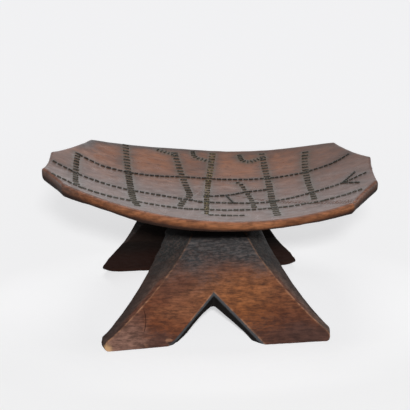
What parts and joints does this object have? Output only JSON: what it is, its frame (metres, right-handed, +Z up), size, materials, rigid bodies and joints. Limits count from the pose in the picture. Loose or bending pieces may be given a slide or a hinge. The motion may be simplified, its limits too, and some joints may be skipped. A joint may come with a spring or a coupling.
{
  "type": "carved wooden stool",
  "caption": "Low carved wooden stool with a dished, corner-cut seat on two leaning forked legs, its seat set with rows of wire stitches.",
  "frame": {"origin": "on the floor under the middle of the seat's bounding box", "axes": "+X along the seat from its higher left end to its right end, +Y from the front leg to the rear leg, +Z up"},
  "size_m": [0.518, 0.359, 0.2561],
  "materials": {
    "carved_wood": "hand-carved dark hardwood, rubbed to a satin polish, paler on worn edges",
    "iron_wire": "dark oxidised wire, dull with a grey-green cast",
    "brass_wire": "tarnished brass wire with rubbed highlights"
  },
  "bodies": {
    "root": {"carved_body": "carved_wood", "cross_row_left_end": "iron_wire", "cross_row_left": "iron_wire", "cross_row_mid_left": "iron_wire", "cross_row_mid_left_tail": "iron_wire", "cross_row_centre": "brass_wire", "cross_row_mid_right": "iron_wire", "cross_row_right": "iron_wire", "cross_row_right_end": "iron_wire", "branch_row_left": "iron_wire", "hook_row_left": "iron_wire", "hook_row_right": "iron_wire", "rear_row_1": "iron_wire", "rear_row_2": "iron_wire", "rear_row_3": "iron_wire", "rear_row_4": "iron_wire", "rear_row_5": "iron_wire", "rear_row_6": "iron_wire", "middle_row_1": "iron_wire", "middle_row_2": "iron_wire", "middle_row_3": "iron_wire", "middle_row_4": "iron_wire", "middle_row_5": "iron_wire", "middle_row_6": "iron_wire", "centre_row_1": "iron_wire", "centre_row_2": "iron_wire", "inner_row_1": "iron_wire", "inner_row_2": "iron_wire", "small_cross_row": "iron_wire", "fork_prong_rear": "iron_wire", "fork_prong_front": "iron_wire", "front_row_1": "iron_wire", "front_row_2": "iron_wire", "front_row_3": "iron_wire", "front_row_4": "iron_wire", "front_row_5": "iron_wire", "front_row_6": "iron_wire", "front_row_7": "iron_wire", "front_row_8": "iron_wire", "short_front_row": "iron_wire"}
  },
  "joints": []
}
